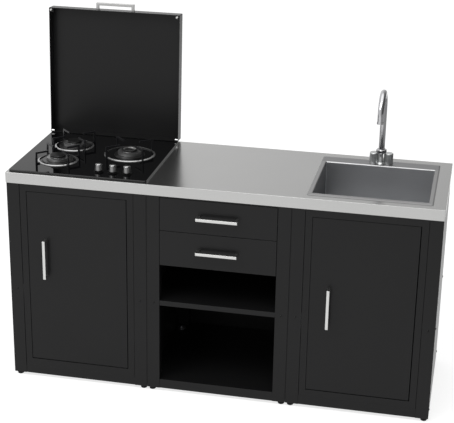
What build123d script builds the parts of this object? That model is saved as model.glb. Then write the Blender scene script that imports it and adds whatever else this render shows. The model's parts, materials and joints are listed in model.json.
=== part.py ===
from build123d import *
import os
from math import cos, radians, sin

# Cabinets: three equal modules of folded sheet steel, side by side
cabinet_width = 598.0
cabinet_gap = 1.0
cabinet_depth = 580.0
cabinet_height = 877.0
panel = 2.0
post_width = 52.0
post_depth = 40.0
post_wall = 2.0
post_end_plate = 3.0
face_recess = 1.5
base_lip = 41.0
shelf_height = 410.0
shelf_lip = 22.0
shelf_setback = 70.0
shelf_flange = 18.0
rail_height = 8.0
service_hole_width = 140.0
service_hole_height = 90.0
service_hole_rise = 60.0
service_hole_radius = 12.0
pipe_clearance = 1.0

# Levelling feet
foot_height = 16.0
foot_radius = 13.5
foot_pad = 12.0
foot_edge = 2.0
foot_neck_radius = 8.0
foot_stud_radius = 4.0
foot_stud_length = 24.0
foot_from_side = 19.0
foot_from_front = 22.0

# Doors, inset in a face frame and hung on pivot pins at their right edge
frame_side = 29.0
frame_top = 32.5
frame_bottom = 31.0
frame_return = 40.0
frame_gap = 1.5
door_gap = 2.5
free_edge_gap = 1.2
hinge_edge_gap = 3.8
door_thickness = 18.0
door_recess = 4.0
pivot_from_edge = 8.0
pivot_from_face = 5.5
pivot_radius = 2.5
pivot_length = 12.0
pivot_head_radius = 5.0
pivot_head = 2.0
pivot_washer_radius = 5.0
catch_width = 20.0
catch_depth = 16.0
catch_height = 46.0

# Bar handles of square bar, bent to a U
bar = 12.0
bar_round = 1.5
handle_length = 172.0
handle_reach = 38.0
door_handle_from_edge = 78.5
left_handle_raise = 94.0
right_handle_raise = 0.0
lid_handle_length = 171.0
lid_handle_reach = 30.0

# Drawers on two-piece runners
drawer_gap = 2.0
drawer_left_gap = 0.8
drawer_right_gap = 2.2
drawer_handle_raise = 2.0
upper_drawer_height = 142.0
lower_drawer_height = 152.0
drawer_front_thickness = 18.0
drawer_box_from_back = 84.0
drawer_box_width = 468.0
drawer_box_drop = 34.0
drawer_box_rise = 8.0
slide_height = 18.0
slide_thickness = 9.0
slide_from_end = 36.0
slide_from_front = 60.0
slide_clearance = 0.3
runner_wall = 1.5
runner_lip_gap = 3.0
runner_tab = 22.0
runner_tab_sheet = 2.0

# Worktop: one folded stainless sheet
worktop_edge = 45.0
worktop_sheet = 2.0
worktop_bend = 1.5
overhang_side = 2.0
overhang_front = 4.0
overhang_back = 6.0
end_stiffener_width = 16.0
middle_stiffener_width = 32.0
stiffener_wall = 2.0
stiffener_clearance = 1.0

# Gas hob, set into the worktop over the left cabinet
hob_offset = 2.0
hob_from_side = 5.0
hob_from_front = 17.0
hob_from_back = 20.0
hob_corner = 8.0
glass = 7.0
glass_chamfer = 1.0
seal = 1.0
seal_width = 8.0
seal_inset = 3.0
ledge_side = 14.0
ledge_front = 25.0
ledge_back = 38.0
tray_clearance = 2.0
tray_sheet = 1.5
tray_drop = 42.0

# Burners, placed from the middle of the hob's front edge, with their own radii
front_burner_x = -135.0
front_burner_y = 163.0
rear_burner_x = -130.0
rear_burner_y = 369.0
wok_burner_x = 136.0
wok_burner_y = 315.0
small_base_radius = 66.0
small_head_radius = 46.0
small_cap_radius = 33.0
small_cup_radius = 22.0
wok_base_radius = 66.0
wok_head_radius = 51.0
wok_cap_radius = 34.0
wok_cup_radius = 28.0
base_height = 4.0
base_edge = 1.5
tier_count = 3
tier_height = 4.0
tier_groove = 1.2
tier_groove_depth = 1.5
port_ring_height = 3.0
port_ring_inset = 3.0
cap_height = 7.5
cap_dish_radius = 26.0
cap_dish_depth = 4.5
cap_seat = 8.0
cap_seat_clearance = 0.3
cap_edge = 2.0
port_width = 2.2
port_depth = 3.0
port_height = 2.5
port_count = 24
burner_hole_clearance = 1.0
spark_radius = 2.2
spark_height = 11.0
spark_gap = 3.0

# Pan supports: a steel ring round each burner with four fingers whose feet lap onto it
small_trim_radius = 86.0
wok_trim_radius = 110.0
trim_width = 8.0
trim_height = 4.5
trim_edge = 0.8
trim_lip = 0.8
support_height = 52.0
finger_width = 6.0
finger_leg = 8.0
finger_lap = 2.0
finger_depth = 8.0
finger_foot = 6.0
small_leg_out = 17.0
wok_leg_out = 6.0
small_finger_inner = 43.0
wok_finger_inner = 47.0
finger_count = 4

# Gas knobs, their push spindles and the valves under the glass
knob_row_x = 135.5
knob_row_y = 66.0
knob_pitch = 60.0
knob_radius = 17.5
knob_height = 29.0
knob_top_radius = 14.0
knob_edge = 8.0
knob_lift = 7.5
knob_cap = 5.0
knob_mark_width = 2.0
knob_mark_depth = 1.0
knob_travel = 4.0
ring_radius = 20.5
ring_height = 3.0
spindle_radius = 3.0
spindle_fit = 0.05
spindle_hole_radius = 7.0
spindle_foot = 22.0
valve_radius = 9.0
valve_top_gap = 4.0
manifold_radius = 6.0
manifold_rise = 9.5
manifold_overrun = 30.0
inlet_from_valve = 30.0
inlet_radius = 6.6
inlet_drop = 26.0
feed_radius = 4.0
feed_wall = 1.0
feed_low = 21.0
feed_high = 31.0

# Lid: a folded pan, drawn closed and then swung open on its hinge line
lid_from_side = 4.0
lid_sheet = 2.0
lid_skirt = 52.0
lid_bend = 3.0
lid_axis_from_back = 32.0
lid_axis_rise = 8.0
lid_rim_drop = 5.0
lid_behind_axis = 6.0
lid_from_front = 3.0
lid_swing = 92.5
lid_corner_plate = 18.0
lid_notch_height = 16.0
hinge_width = 10.0
hinge_round = 5.0
hinge_pin_radius = 2.5
hinge_fit = 0.05
hinge_head_radius = 4.5
hinge_head = 2.5
hinge_side_gap = 0.5
hinge_notch_gap = 3.5
buffer_radius = 4.2
buffer_from_side = 11.0
buffer_from_front = 8.5
buffer_gap = 0.3
stop_size = 14.0
stop_from_back = 2.0
stop_from_side = 60.0
stop_gap = 0.4

# Inset sink over the right cabinet
sink_offset = 2.0
sink_from_side = 49.0
sink_from_front = 41.0
sink_from_back = 49.0
sink_rim = 3.0
sink_rim_slope = 2.5
sink_rim_slope_width = 5.0
sink_corner = 8.0
sink_sheet = 1.5
bowl_from_side = 20.0
bowl_from_front = 25.0
bowl_from_back = 72.0
bowl_depth = 172.0
bowl_corner = 4.0
bowl_floor_round = 2.0
bowl_lip = 5.0
sink_cutout_margin = 12.0
waste_hole_radius = 30.0
waste_flange_radius = 38.0
waste_flange = 2.0
waste_fit = 0.3
waste_cup_depth = 40.0
waste_tail_radius = 20.0
waste_tail_wall = 2.5
waste_elbow_drop = 35.0
grid_hole_radius = 5.0
grid_hole_circle = 15.0
grid_hole_count = 6

# Tap on the sink's rear ledge
tap_from_bowl = 23.0
tap_foot_radius = 16.5
tap_foot = 4.0
tap_belly = 7.5
tap_belly_radius = 14.0
tap_ball_top = 10.0
tap_shoulder_radius = 12.0
tap_neck_radius = 8.5
tap_neck_start = 34.0
tap_flare = 46.0
tap_head_radius = 13.3
tap_head_start = 50.5
tap_head_top = 61.0
tap_bridge = 9.0
tap_valve_x = 30.0
tap_valve_y = 16.0
tap_valve_height = 10.0
tap_stem_radius = 6.0
tap_stem_height = 32.0
tap_fit = 0.06
tap_knob_radius = 20.5
tap_knob_top = 47.0
tap_knob_round = 4.0
tap_knob_gap = 0.5
collar_radius = 22.0
collar_top = 68.0
collar_round = 5.0
collar_flutes = 8
collar_flute_radius = 4.0
spout_radius = 13.3
spout_wall = 1.5
spout_reach = 154.0
spout_drop = 32.0
spout_top = 348.5
spigot_radius = 6.0
spigot_length = 24.0
swivel_gap = 0.3
outlet_ring = 1.5
outlet_ring_height = 8.0
shank_radius = 10.5
shank_hole_radius = 11.5
shank_length = 58.0
shank_nut_across = 30.0
shank_nut_height = 10.0
water_block_height = 18.0
water_block_depth = 18.0
water_pipe_radius = 5.0
water_pipe_spread = 20.0

# Tails that gas, water and waste pipes leave outside the back panels
tail_length = 30.0
tail_collar = 3.0
tail_collar_rim = 4.0

# Screws that show
screw_radius = 4.5
screw_head = 2.5
post_screw_from_side = 29.0
side_screw_above_floor = 36.0
side_screw_below_shelf = 5.5

# Levels and places that follow from the sizes above
cabinet_bottom = foot_height
cabinet_top = cabinet_bottom + cabinet_height
top = cabinet_top + worktop_edge
pitch = cabinet_width + cabinet_gap
half = cabinet_width / 2
inner = half - panel
clear = inner - post_width
worktop_width = 3 * cabinet_width + 2 * cabinet_gap + 2 * overhang_side
worktop_depth = overhang_front + cabinet_depth + overhang_back
drawer_box_length = cabinet_depth - drawer_box_from_back
slide_length = drawer_box_length - slide_from_end
hob_width = cabinet_width - 2 * hob_from_side
hob_depth = worktop_depth - hob_from_front - hob_from_back
lid_width = cabinet_width - 2 * lid_from_side
lid_axis_from_front = worktop_depth - lid_axis_from_back
lid_reach = lid_axis_from_front - lid_from_front
sink_width = cabinet_width - 2 * sink_from_side
sink_depth = worktop_depth - sink_from_front - sink_from_back
bowl_width = sink_width - 2 * bowl_from_side
bowl_length = sink_depth - bowl_from_front - bowl_from_back
glass_top = top + seal + glass
lid_axis_z = glass_top + lid_axis_rise
lid_rim = lid_axis_z - lid_rim_drop
lid_top = lid_rim + lid_skirt

# Front to back the origin is midway between the foremost handle and the open lid's back
lean = radians(lid_swing - 90)
lid_depth = lid_top - lid_axis_z
open_lid_back = (lid_axis_from_front + (lid_depth - lid_bend) * cos(lean)
                 + (lid_reach - lid_bend) * sin(lean) + lid_bend)
foremost = overhang_front + face_recess - handle_reach
front = -(foremost + open_lid_back) / 2
post_face = front + overhang_front
face = post_face + face_recess
cabinet_back = post_face + cabinet_depth
front_post_back = post_face + post_depth
back_face = cabinet_back - panel
rear_post_face = back_face - post_depth
modules = {"left": -pitch, "centre": 0.0, "right": pitch}
tail_end = cabinet_back + tail_collar + tail_length


def box(x, y, z):
    """Box between pairs of limits on the three axes."""
    size = [high - low for low, high in (x, y, z)]
    middle = [(low + high) / 2 for low, high in (x, y, z)]
    return Pos(*middle) * Box(*size)


def rod(x, y, z, radius):
    """Upright cylinder between two levels."""
    return Pos(x, y, (z[0] + z[1]) / 2) * Cylinder(radius, z[1] - z[0])


def lying(x, y, z, radius):
    """Cylinder lying front to back between two limits in y."""
    return Pos(x, (y[0] + y[1]) / 2, z) * Rot(90, 0, 0) * Cylinder(radius, y[1] - y[0])


def rear_pipe(x, y, z, radius):
    """Pipe from y back through the back panel, ending flush with it."""
    return lying(x, (y, cabinet_back), z, radius)


def rear_tail(x, z, radius):
    """Collar against the back panel and the tail behind it."""
    collar = lying(x, (cabinet_back, cabinet_back + tail_collar), z, radius + tail_collar_rim)
    return lying(x, (cabinet_back, tail_end), z, radius) + collar


def plate(x, y, z, corner):
    """Upright block with rounded corners in plan."""
    sketch = RectangleRounded(x[1] - x[0], y[1] - y[0], corner)
    return Pos((x[0] + x[1]) / 2, (y[0] + y[1]) / 2, z[0]) * extrude(sketch, z[1] - z[0])


def turned(x, y, profile):
    """Body of revolution about an upright axis, from (radius, level) points."""
    outline = Polyline(*[(radius, 0, level) for radius, level in profile], close=True)
    return Pos(x, y, 0) * revolve(make_face(outline), Axis.Z)


def around(x, y, count, start=0.0):
    """Places spread evenly about an upright axis."""
    return [Pos(x, y, 0) * Rot(0, 0, start + 360 * k / count) for k in range(count)]


def save(name, *pieces):
    """Write one node; a group of pieces keeps its solids apart."""
    shape = pieces[0] if len(pieces) == 1 else Compound(children=[Part(p.wrapped) for p in pieces])
    export_step(shape, f"parts/{name}.step")


def bar_handle(length, reach):
    """U-shaped handle lying along X, its feet on the plane y = 0 and its bar towards -Y."""
    ends = (-length / 2, length / 2)
    level = (-bar / 2, bar / 2)
    shape = box(ends, (-reach, bar - reach), level)
    for low, high in ((ends[0], ends[0] + bar), (ends[1] - bar, ends[1])):
        shape += box((low, high), (-reach, 0), level)
    outer = shape.edges().filter_by_position(Axis.Y, -reach, -reach)
    return fillet(outer, bar_round)


def folded_pan(x, y, z, sheet):
    """Shallow pan facing -Y: a front sheet with four edges turned back."""
    hollow = box((x[0] + sheet, x[1] - sheet), (y[0] + sheet, y[1]), (z[0] + sheet, z[1] - sheet))
    return box(x, y, z) - hollow


# Cabinet carcasses
def post_places():
    """Centre x, limits in y, of every corner post, and its side of the cabinet."""
    for middle in modules.values():
        for side in (-1, 1):
            edges = sorted((middle + side * inner, middle + side * clear))
            for depth in ((post_face, front_post_back), (rear_post_face, back_face)):
                yield middle, side, edges, depth


def corner_post(edges, depth, foot_x, foot_y):
    inside = box((edges[0] + post_wall, edges[1] - post_wall), (depth[0] + post_wall, depth[1] - post_wall),
                 (cabinet_bottom + post_end_plate, cabinet_top))
    end_plate = (cabinet_bottom, cabinet_bottom + post_end_plate)
    stud = rod(foot_x, foot_y, end_plate, foot_stud_radius + slide_clearance)
    return box(edges, depth, (cabinet_bottom, cabinet_top)) - inside - stud


def foot(x, y):
    stud_top = cabinet_bottom + foot_stud_length
    pad = [(0, 0), (foot_radius - foot_edge, 0), (foot_radius, foot_edge), (foot_radius, foot_pad)]
    neck = [(foot_neck_radius, foot_pad), (foot_neck_radius, foot_height)]
    stud = [(foot_stud_radius, foot_height), (foot_stud_radius, stud_top), (0, stud_top)]
    return turned(x, y, pad + neck + stud)


def foot_place(middle, side, depth):
    from_front = post_face + foot_from_front
    from_back = cabinet_back - foot_from_front
    y = from_front if depth[0] == post_face else from_back
    return middle + side * (half - foot_from_side), y


def floor_sheet(middle, level, lip, setback):
    """Shelf or floor: a sheet with a front lip and turned-down sides, notched round the posts."""
    start = face + setback
    lip_half = clear if start < front_post_back else inner
    sheet = box((middle - inner, middle + inner), (start, back_face), (level - panel, level))
    sheet += box((middle - lip_half, middle + lip_half), (start, start + panel), (level - lip, level))
    for side in (-1, 1):
        web = sorted((middle + side * inner, middle + side * (inner - panel)))
        sheet += box(web, (max(start, front_post_back), rear_post_face), (level - shelf_flange, level))
        for depth in ((post_face, front_post_back), (rear_post_face, back_face)):
            notch = sorted((middle + side * inner, middle + side * clear))
            sheet -= box(notch, depth, (level - lip, level))
    return sheet


def back_panel(middle, pipes):
    """Back sheet; where pipes leave through it there is also a larger hole for hoses and air."""
    sheet = box((middle - inner, middle + inner), (back_face, cabinet_back), (cabinet_bottom, cabinet_top))
    if pipes:
        low = cabinet_bottom + base_lip + service_hole_rise
        hole = RectangleRounded(service_hole_width, service_hole_height, service_hole_radius)
        place = Pos(middle, back_face, low + service_hole_height / 2) * Rot(90, 0, 0)
        sheet -= place * extrude(hole, panel, both=True)
    for x, z, radius in pipes:
        sheet -= lying(x, (back_face, cabinet_back), z, radius + pipe_clearance)
    return sheet


def rails(middle):
    """Front and rear top rails: flat tubes between the posts."""
    level = (cabinet_top - rail_height, cabinet_top)
    for depth in ((face + panel, front_post_back), (rear_post_face, back_face)):
        tube = box((middle - clear, middle + clear), depth, level)
        yield tube - box((middle - clear, middle + clear), (depth[0] + panel, depth[1] - panel),
                         (level[0] + panel, level[1] - panel))


def carcasses():
    sides = []
    for middle in modules.values():
        for side in (-1, 1):
            sheet = sorted((middle + side * half, middle + side * inner))
            sides.append(box(sheet, (post_face, cabinet_back), (cabinet_bottom, cabinet_top)))
    save("side_panels", *sides)
    posts, feet = [], []
    for middle, side, edges, depth in post_places():
        place = foot_place(middle, side, depth)
        posts.append(corner_post(edges, depth, *place))
        feet.append(foot(*place))
    save("corner_posts", *posts)
    save("feet", *feet)
    gas = [(inlet_x, inlet_z, inlet_radius)]
    water = [(x, water_z, water_pipe_radius) for x in water_x]
    waste_pipe = [(sink_x, waste_z, waste_tail_radius)]
    save("back_panels", back_panel(-pitch, gas), back_panel(0, []), back_panel(pitch, water + waste_pipe))
    base_level = cabinet_bottom + base_lip
    save("base_trays", *[floor_sheet(middle, base_level, base_lip, 0) for middle in modules.values()])
    level = cabinet_bottom + shelf_height
    save("centre_shelf", floor_sheet(0, level, shelf_lip, 0))
    shelves = [floor_sheet(side * pitch, level, shelf_lip, shelf_setback) for side in (-1, 1)]
    save("cabinet_shelves", *shelves)
    save("top_rails", *[rail for middle in modules.values() for rail in rails(middle)])


def screw_heads():
    """Round heads on the front posts at shelf height and on the two outer sides."""
    heads = []
    level = cabinet_bottom + shelf_height - shelf_lip / 2
    head = Cylinder(screw_radius, screw_head)
    head = fillet(head.edges().group_by(Axis.Z)[-1], screw_head / 2)
    for middle in modules.values():
        for side in (-1, 1):
            x = middle + side * (half - post_screw_from_side)
            heads.append(Pos(x, post_face - screw_head / 2, level) * Rot(90, 0, 0) * head)
    for side in (-1, 1):
        x = side * (pitch + half + screw_head / 2)
        for y in (post_face + post_depth / 2, cabinet_back - post_depth / 2):
            for z in (side_screw_above_floor, shelf_height - side_screw_below_shelf):
                heads.append(Pos(x, y, cabinet_bottom + z) * Rot(0, side * 90, 0) * head)
    save("screws", *heads)


# Doors
door_low = cabinet_bottom + base_lip + frame_bottom + door_gap
door_high = cabinet_top - frame_top - door_gap
opening_half = clear - frame_side
door_left = opening_half - free_edge_gap
door_right = opening_half - hinge_edge_gap
door_face = post_face + door_recess
door_back = door_face + door_thickness
pivot_y = door_face + pivot_from_face


def face_frame(middle):
    """Ring of sheet round the door, its inner edges turned back as jambs, bored for the pivots."""
    outer = (cabinet_bottom + base_lip, cabinet_top)
    inside = (door_low - door_gap, door_high + door_gap)
    hole = box((middle - opening_half, middle + opening_half), (face, face + frame_return), inside)
    jamb_half = opening_half + panel
    edge = clear - frame_gap
    ring = box((middle - edge, middle + edge), (face, face + panel), outer)
    jamb_levels = (inside[0] - panel, inside[1] + panel)
    ring += box((middle - jamb_half, middle + jamb_half), (face, face + frame_return), jamb_levels)
    x = middle + door_right - pivot_from_edge
    return ring - hole - rod(x, pivot_y, jamb_levels, pivot_radius + slide_clearance / 10)


def door(middle):
    width = (middle - door_left, middle + door_right)
    pan = folded_pan(width, (door_face, door_back), (door_low, door_high), panel)
    x = middle + door_right - pivot_from_edge
    return pan - rod(x, pivot_y, (door_low, door_high), pivot_radius + hinge_fit)


def pivot_pins(middle):
    """Lower and upper pivot: headed pin with a washer face that carries the door."""
    x = middle + door_right - pivot_from_edge
    washer = door_gap - slide_clearance
    for way, level in ((1, door_low - door_gap), (-1, door_high + door_gap)):
        head = -panel - pivot_head
        profile = [(0, head), (pivot_head_radius, head), (pivot_head_radius, -panel),
                   (pivot_radius, -panel), (pivot_radius, 0), (pivot_washer_radius, 0),
                   (pivot_washer_radius, washer), (pivot_radius, washer),
                   (pivot_radius, pivot_length), (0, pivot_length)]
        yield turned(x, pivot_y, [(r, level + way * z) for r, z in profile])


def catch(middle):
    """Magnet block on the left jamb, just behind the closed door."""
    z = (door_low + door_high) / 2
    start = door_back + slide_clearance
    jamb = middle - opening_half
    level = (z - catch_height / 2, z + catch_height / 2)
    return box((jamb, jamb + catch_width), (start, start + catch_depth), level)


def doors():
    upright = Rot(0, 90, 0)
    reach = handle_reach - door_recess + face_recess
    for name, raise_by in (("left", left_handle_raise), ("right", right_handle_raise)):
        middle = modules[name]
        save(f"{name}_face_frame", face_frame(middle))
        save(f"{name}_door", door(middle))
        x = middle - door_left + door_handle_from_edge
        z = (door_low + door_high) / 2 + raise_by
        grip = Pos(x, door_face, z) * upright * bar_handle(handle_length, reach)
        save(f"{name}_door_handle", grip)
    save("door_pins", *[pin for name in ("left", "right") for pin in pivot_pins(modules[name])])
    save("door_catches", *[catch(modules[name]) for name in ("left", "right")])


# Drawers
upper_high = cabinet_top - rail_height - drawer_gap / 2
upper_low = upper_high - upper_drawer_height
lower_high = upper_low - drawer_gap
lower_low = lower_high - lower_drawer_height
drawer_levels = {"upper": (upper_low, upper_high), "lower": (lower_low, lower_high)}
drawer_front_back = face + drawer_front_thickness
drawer_box_front = face + panel
box_half = drawer_box_width / 2
slide_outer = box_half + slide_thickness
runner_web = slide_outer + slide_clearance


def drawer_box_levels(levels):
    return levels[0] + drawer_box_rise, levels[1] - drawer_box_drop


def slide_level(levels):
    low, high = drawer_box_levels(levels)
    return (low + high) / 2


def drawer_runner(side, level):
    """Fixed channel, open towards the drawer, with a tab on the post at each end."""
    reach = slide_height / 2 + slide_clearance + runner_wall
    z = (level - reach, level + reach)
    y = (front_post_back, rear_post_face)
    web = sorted((side * (box_half + runner_lip_gap), side * (runner_web + runner_wall)))
    groove = sorted((side * box_half, side * runner_web))
    channel = box(web, y, z) - box(groove, y, (z[0] + runner_wall, z[1] - runner_wall))
    tab = sorted((side * runner_web, side * (runner_web + runner_tab)))
    channel += box(tab, (y[0], y[0] + runner_tab_sheet), z)
    return channel + box(tab, (y[1] - runner_tab_sheet, y[1]), z)


def drawers():
    width = (drawer_left_gap - clear, clear - drawer_right_gap)
    start = face + slide_from_front
    runners = []
    for name, levels in drawer_levels.items():
        save(f"{name}_drawer_front",
             folded_pan(width, (face, drawer_front_back), levels, panel))
        low, high = drawer_box_levels(levels)
        y = (drawer_box_front, drawer_box_front + drawer_box_length)
        inside = box((panel - box_half, box_half - panel), (y[0] + panel, y[1] - panel), (low + panel, high))
        save(f"{name}_drawer_box", box((-box_half, box_half), y, (low, high)) - inside)
        middle = (levels[0] + levels[1]) / 2 + drawer_handle_raise
        save(f"{name}_drawer_handle", Pos(0, face, middle) * bar_handle(handle_length, handle_reach))
        level = slide_level(levels)
        z = (level - slide_height / 2, level + slide_height / 2)
        slides = []
        for side in (-1, 1):
            thick = sorted((side * box_half, side * slide_outer))
            slides.append(box(thick, (start, start + slide_length), z))
            runners.append(drawer_runner(side, level))
        save(f"{name}_drawer_slides", *slides)
    save("drawer_runners", *runners)


# Worktop
hob_x = modules["left"] + hob_offset
hob_front = front + hob_from_front
sink_x = modules["right"] + sink_offset
sink_front = front + sink_from_front
sink_span_x = (sink_x - sink_width / 2, sink_x + sink_width / 2)
sink_span_y = (sink_front, sink_front + sink_depth)
cutout_x = (hob_x - hob_width / 2 + ledge_side, hob_x + hob_width / 2 - ledge_side)
cutout_y = (hob_front + ledge_front, hob_front + hob_depth - ledge_back)


def worktop():
    x = (-worktop_width / 2, worktop_width / 2)
    y = (front, front + worktop_depth)
    outer = box(x, y, (cabinet_top, top))
    outer = fillet(outer.edges().group_by(Axis.Z)[-1] + outer.edges().filter_by(Axis.Z), worktop_bend)
    s = worktop_sheet
    sheet = outer - box((x[0] + s, x[1] - s), (y[0] + s, y[1] - s), (cabinet_top, top - s))
    sheet -= box(cutout_x, cutout_y, (top - s, top))
    m = sink_cutout_margin
    x = (sink_span_x[0] + m, sink_span_x[1] - m)
    y = (sink_span_y[0] + m, sink_span_y[1] - m)
    sheet -= box(x, y, (top - s, top))
    save("worktop", sheet)


def stiffeners():
    """Tubes across the worktop, standing on the cabinet sides and seams."""
    inset = worktop_sheet + stiffener_clearance
    y = (front + inset, front + worktop_depth - inset)
    z = (cabinet_top, top - worktop_sheet)
    end = worktop_width / 2 - inset
    seam = pitch / 2
    wide = middle_stiffener_width / 2
    tubes = []
    for low, high in ((-end, end_stiffener_width - end), (-seam - wide, wide - seam),
                      (seam - wide, seam + wide), (end - end_stiffener_width, end)):
        w = stiffener_wall
        hollow = box((low + w, high - w), y, (z[0] + w, z[1] - w))
        tubes.append(box((low, high), y, z) - hollow)
    save("worktop_stiffeners", *tubes)


# Hob
tray_low = top - tray_drop
burners = {
    "front": (hob_x + front_burner_x, hob_front + front_burner_y, small_base_radius, small_head_radius,
              small_cap_radius, small_cup_radius),
    "rear": (hob_x + rear_burner_x, hob_front + rear_burner_y, small_base_radius, small_head_radius,
             small_cap_radius, small_cup_radius),
    "wok": (hob_x + wok_burner_x, hob_front + wok_burner_y, wok_base_radius, wok_head_radius,
            wok_cap_radius, wok_cup_radius),
}
disc_top = glass_top + base_height
tiers_top = disc_top + tier_count * tier_height
head_top = tiers_top + port_ring_height
knob_y = hob_front + knob_row_y
knob_x = [hob_x + knob_row_x + k * knob_pitch for k in (-1, 0, 1)]


def hob_plate():
    x = (hob_x - hob_width / 2, hob_x + hob_width / 2)
    y = (hob_front, hob_front + hob_depth)
    sheet = plate(x, y, (top + seal, glass_top), hob_corner)
    sheet = chamfer(sheet.edges().group_by(Axis.Z)[-1], glass_chamfer)
    for bx, by, _, _, _, cup in burners.values():
        sheet -= rod(bx, by, (top, glass_top), cup + burner_hole_clearance)
    for kx in knob_x:
        sheet -= rod(kx, knob_y, (top, glass_top), spindle_hole_radius)
    save("hob_glass", sheet)
    level = (top, top + seal)
    a = seal_inset
    b = seal_inset + seal_width
    ring = plate((x[0] + a, x[1] - a), (y[0] + a, y[1] - a), level, hob_corner)
    ring -= box((x[0] + b, x[1] - b), (y[0] + b, y[1] - b), level)
    save("hob_seal", ring)


def hob_tray():
    """Sheet box hanging in the cut-out, its top edge under the glass."""
    x = (cutout_x[0] + tray_clearance, cutout_x[1] - tray_clearance)
    y = (cutout_y[0] + tray_clearance, cutout_y[1] - tray_clearance)
    s = tray_sheet
    tray = box(x, y, (tray_low, top + seal))
    tray -= box((x[0] + s, x[1] - s), (y[0] + s, y[1] - s), (tray_low + s, top + seal))
    tray -= rod(inlet_x, knob_y, (tray_low, tray_low + s), inlet_radius + slide_clearance)
    save("hob_tray", tray)


def burner_body(x, y, base, head, cap, cup):
    """Cup standing on the tray, spill disc on the glass, grooved head and slotted flame ring."""
    floor = tray_low + tray_sheet
    profile = [(0, floor), (cup, floor), (cup, glass_top), (base, glass_top), (base - base_edge, disc_top)]
    for k in range(tier_count):
        low = disc_top + k * tier_height
        profile += [(head - tier_groove_depth, low), (head - tier_groove_depth, low + tier_groove),
                    (head, low + tier_groove), (head, low + tier_height)]
    ports = cap - port_ring_inset
    body = turned(x, y, profile + [(ports, tiers_top), (ports, head_top), (0, head_top)])
    body -= rod(x, y, (head_top - cap_seat, head_top), cap_seat + cap_seat_clearance)
    slot = box((ports - port_depth, ports + port_depth), (-port_width / 2, port_width / 2),
               (head_top - port_height, head_top))
    for place in around(x, y, port_count):
        body -= place * slot
    return body


def burner_cap(x, y, radius, dished):
    spigot = head_top - cap_seat / 2
    crown = head_top + cap_height
    cap = turned(x, y, [(0, spigot), (cap_seat, spigot), (cap_seat, head_top), (radius, head_top),
                        (radius, crown - cap_edge), (radius - cap_edge, crown), (0, crown)])
    return cap - rod(x, y, (crown - cap_dish_depth, crown), cap_dish_radius) if dished else cap


def trim_ring(x, y, radius):
    """Steel ring lying on the glass: upright inside, sloping down to a thin outer edge."""
    inner = radius - trim_width
    crown = glass_top + trim_height
    return turned(x, y, [(inner, glass_top), (radius, glass_top), (radius, glass_top + trim_edge),
                         (inner + trim_lip, crown), (inner, crown)])


def pan_support(x, y, radius, leg_end, inner_end, ring):
    """Upright fingers on feet that lap over the ring; their tops run in towards the burner."""
    crown = glass_top + support_height
    width = (-finger_width / 2, finger_width / 2)
    finger = box((leg_end - finger_leg, leg_end), width, (glass_top, crown))
    finger += box((radius - finger_lap, leg_end), width, (glass_top, glass_top + finger_foot))
    finger += box((inner_end, leg_end), width, (crown - finger_depth, crown))
    return [place * finger - ring for place in around(x, y, finger_count, 45)]


def burners_and_supports():
    bodies, caps, sparks, rings = [], [], [], []
    for name, (x, y, base, head, cap, cup) in burners.items():
        wok = name == "wok"
        bodies.append(burner_body(x, y, base, head, cap, cup))
        caps.append(burner_cap(x, y, cap, wok))
        spark_x = x + head + spark_gap + spark_radius
        sparks.append(rod(spark_x, y, (disc_top, disc_top + spark_height), spark_radius))
        radius = wok_trim_radius if wok else small_trim_radius
        leg_end = radius + (wok_leg_out if wok else small_leg_out)
        inner_end = wok_finger_inner if wok else small_finger_inner
        rings.append(trim_ring(x, y, radius))
        save(f"{name}_pan_support", *pan_support(x, y, radius, leg_end, inner_end, rings[-1]))
    save("burners", *bodies)
    save("burner_caps", *caps)
    save("spark_plugs", *sparks)
    save("burner_rings", *rings)


# Knobs and gas parts
knob_low = glass_top + knob_lift
knob_high = knob_low + knob_height
spindle_low = top - spindle_foot
spindle_high = knob_high - knob_cap
inlet_x = hob_x + knob_row_x + knob_pitch + inlet_from_valve
inlet_z = tray_low - inlet_drop
manifold_z = tray_low + tray_sheet + manifold_rise
valve_top = top - valve_top_gap


def gas_knob(x):
    """Tapered grip with a domed top, bored for the spindle and marked on top."""
    body = turned(x, knob_y, [(0, knob_low), (knob_radius, knob_low), (knob_top_radius, knob_high),
                              (0, knob_high)])
    body = fillet(body.edges().group_by(Axis.Z)[-1], knob_edge)
    body -= rod(x, knob_y, (knob_low, spindle_high + slide_clearance), spindle_radius + spindle_fit)
    mark = (x - knob_mark_width / 2, x + knob_mark_width / 2)
    return body - box(mark, (knob_y, knob_y + knob_radius), (knob_high - knob_mark_depth, knob_high))


def gas_manifold():
    """Pipe under the glass with an upright valve below each knob, led down and out at the back."""
    start = knob_x[0] - manifold_overrun
    run = Rot(0, 90, 0) * Cylinder(manifold_radius, inlet_x - start)
    pipe = Pos((start + inlet_x) / 2, knob_y, manifold_z) * run
    pipe += rod(inlet_x, knob_y, (inlet_z, manifold_z + manifold_radius), inlet_radius)
    pipe += Pos(inlet_x, knob_y, inlet_z) * Sphere(inlet_radius)
    pipe += rear_pipe(inlet_x, knob_y, inlet_z, inlet_radius)
    bore_low = spindle_low - knob_travel - slide_clearance
    for x in knob_x:
        pipe += rod(x, knob_y, (manifold_z, valve_top), valve_radius)
        pipe -= rod(x, knob_y, (bore_low, valve_top), spindle_radius + spindle_fit)
    return pipe


def feed_pipe(valve_x, burner, level):
    """Straight tube from a valve to a burner cup, trimmed to both."""
    x, y, cup = burner[0], burner[1], burner[5]
    start = Vector(valve_x, knob_y, level)
    end = Vector(x, y, level)
    along = Plane(origin=start, z_dir=end - start)
    length = (end - start).length
    section = Circle(feed_radius) - Circle(feed_radius - feed_wall)
    tube = extrude(along * section, length)
    span = (level - 2 * feed_radius, level + 2 * feed_radius)
    return tube - rod(valve_x, knob_y, span, valve_radius) - rod(x, y, span, cup)


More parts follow.
